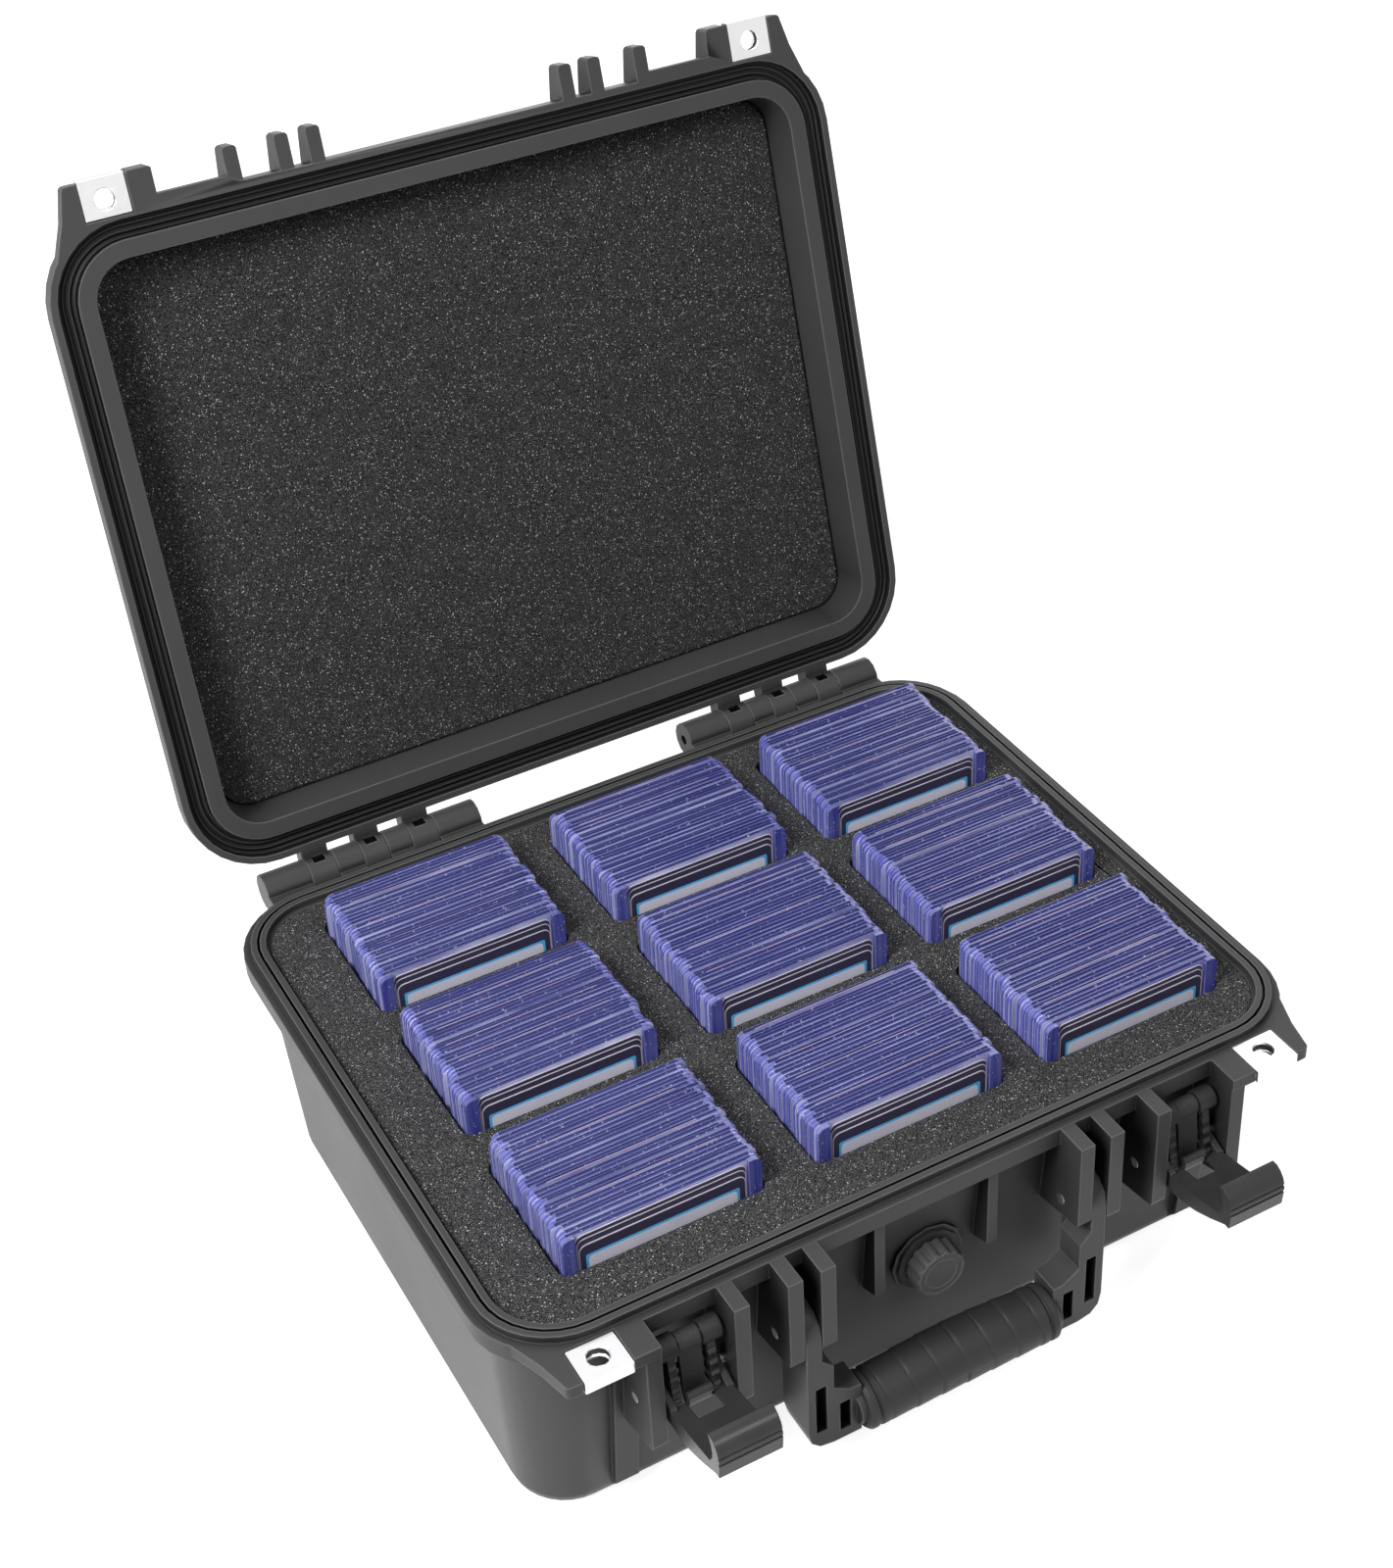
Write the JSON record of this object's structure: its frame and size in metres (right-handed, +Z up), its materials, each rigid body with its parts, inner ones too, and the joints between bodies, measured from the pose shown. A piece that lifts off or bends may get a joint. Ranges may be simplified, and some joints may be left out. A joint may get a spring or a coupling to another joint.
{
  "type": "toploader storage case",
  "caption": "Hinged hard case with draw latches, padlock plates, carrying handle and pressure valve, whose cut foam holds stacks of rigid card sleeves.",
  "frame": {"origin": "centre of the flat underside of the base", "axes": "+X to the right along the front, +Y towards the hinges, +Z up"},
  "size_m": [0.329, 0.4302, 0.3771],
  "materials": {
    "case_plastic": "satin moulded black plastic with a fine texture",
    "latch_plastic": "smooth moulded black plastic",
    "foam": "open-cell charcoal foam",
    "rubber": "black rubber",
    "steel": "bright stainless steel",
    "sleeve_plastic": "clear rigid plastic that looks violet blue in a stack"
  },
  "bodies": {
    "base": {"base_shell": "case_plastic", "base_foam_pad": "foam", "card_foam_insert": "foam", "valve_body": "case_plastic", "valve_seal": "rubber", "base_padlock_plate_left": "steel", "base_padlock_plate_right": "steel", "hinge_pin_left": "steel", "hinge_pin_right": "steel", "latch_pivot_pin_left_inner": "steel", "latch_pivot_pin_left_outer": "steel", "latch_pivot_pin_right_inner": "steel", "latch_pivot_pin_right_outer": "steel", "handle_pin_left": "steel", "handle_pin_right": "steel"},
    "lid": {"lid_shell": "case_plastic", "lid_gasket": "rubber", "lid_foam_pad": "foam", "lid_padlock_plate_left": "steel", "lid_padlock_plate_right": "steel"},
    "handle": {"handle_frame": "case_plastic", "handle_grip": "rubber"},
    "valve_knob": {"valve_knob": "case_plastic"},
    "latch_lever_left": {"latch_lever_left": "latch_plastic"},
    "latch_link_left": {"latch_link_left": "latch_plastic", "latch_claw_pin_left": "steel"},
    "latch_claw_left": {"latch_claw_left": "latch_plastic"},
    "latch_lever_right": {"latch_lever_right": "latch_plastic"},
    "latch_link_right": {"latch_link_right": "latch_plastic", "latch_claw_pin_right": "steel"},
    "latch_claw_right": {"latch_claw_right": "latch_plastic"},
    "stack_back_left": {"toploader_stack_back_left": "sleeve_plastic"},
    "stack_back_middle": {"toploader_stack_back_middle": "sleeve_plastic"},
    "stack_back_right": {"toploader_stack_back_right": "sleeve_plastic"},
    "stack_middle_left": {"toploader_stack_middle_left": "sleeve_plastic"},
    "stack_middle_middle": {"toploader_stack_middle_middle": "sleeve_plastic"},
    "stack_middle_right": {"toploader_stack_middle_right": "sleeve_plastic"},
    "stack_front_left": {"toploader_stack_front_left": "sleeve_plastic"},
    "stack_front_middle": {"toploader_stack_front_middle": "sleeve_plastic"},
    "stack_front_right": {"toploader_stack_front_right": "sleeve_plastic"}
  },
  "joints": [
    {"name": "lid_hinge", "type": "hinge", "parent": "base", "child": "lid", "pos_m": [0, 0.1423, 0.099], "axis": [-1, 0, 0], "range_deg": [-105, 0]},
    {"name": "handle_swing", "type": "hinge", "parent": "base", "child": "handle", "pos_m": [0, -0.1341, 0.0679], "axis": [-1, 0, 0], "range_deg": [0, 90]},
    {"name": "valve_turn", "type": "hinge", "parent": "base", "child": "valve_knob", "pos_m": [0, -0.128, 0.057], "axis": [0, -1, 0], "range_deg": [0, 180]},
    {"name": "lever_left", "type": "hinge", "parent": "base", "child": "latch_lever_left", "pos_m": [-0.10205, -0.1335, 0.0678], "axis": [-1, 0, 0], "range_deg": [-98, 0]},
    {"name": "link_left", "type": "hinge", "parent": "latch_lever_left", "child": "latch_link_left", "pos_m": [-0.10205, -0.139, 0.0635], "axis": [1, 0, 0], "range_deg": [-80, 0]},
    {"name": "claw_left", "type": "hinge", "parent": "latch_link_left", "child": "latch_claw_left", "pos_m": [-0.10205, -0.135, 0.087], "axis": [1, 0, 0], "range_deg": [-200, 0]},
    {"name": "lever_right", "type": "hinge", "parent": "base", "child": "latch_lever_right", "pos_m": [0.10205, -0.1335, 0.0678], "axis": [-1, 0, 0], "range_deg": [-98, 0]},
    {"name": "link_right", "type": "hinge", "parent": "latch_lever_right", "child": "latch_link_right", "pos_m": [0.10205, -0.139, 0.0635], "axis": [1, 0, 0], "range_deg": [-80, 0]},
    {"name": "claw_right", "type": "hinge", "parent": "latch_link_right", "child": "latch_claw_right", "pos_m": [0.10205, -0.135, 0.087], "axis": [1, 0, 0], "range_deg": [-200, 0]},
    {"name": "lift_back_left", "type": "slide", "parent": "base", "child": "stack_back_left", "axis": [0, 0, 1], "range_m": [0, 0.11]},
    {"name": "lift_back_middle", "type": "slide", "parent": "base", "child": "stack_back_middle", "axis": [0, 0, 1], "range_m": [0, 0.11]},
    {"name": "lift_back_right", "type": "slide", "parent": "base", "child": "stack_back_right", "axis": [0, 0, 1], "range_m": [0, 0.11]},
    {"name": "lift_middle_left", "type": "slide", "parent": "base", "child": "stack_middle_left", "axis": [0, 0, 1], "range_m": [0, 0.11]},
    {"name": "lift_middle_middle", "type": "slide", "parent": "base", "child": "stack_middle_middle", "axis": [0, 0, 1], "range_m": [0, 0.11]},
    {"name": "lift_middle_right", "type": "slide", "parent": "base", "child": "stack_middle_right", "axis": [0, 0, 1], "range_m": [0, 0.11]},
    {"name": "lift_front_left", "type": "slide", "parent": "base", "child": "stack_front_left", "axis": [0, 0, 1], "range_m": [0, 0.11]},
    {"name": "lift_front_middle", "type": "slide", "parent": "base", "child": "stack_front_middle", "axis": [0, 0, 1], "range_m": [0, 0.11]},
    {"name": "lift_front_right", "type": "slide", "parent": "base", "child": "stack_front_right", "axis": [0, 0, 1], "range_m": [0, 0.11]}
  ],
  "couplings": [
    {"joint": "link_left", "follows": "lever_left", "ratio": 0.748},
    {"joint": "claw_left", "follows": "lever_left", "ratio": 1.885},
    {"joint": "link_right", "follows": "lever_right", "ratio": 0.748},
    {"joint": "claw_right", "follows": "lever_right", "ratio": 1.885}
  ]
}
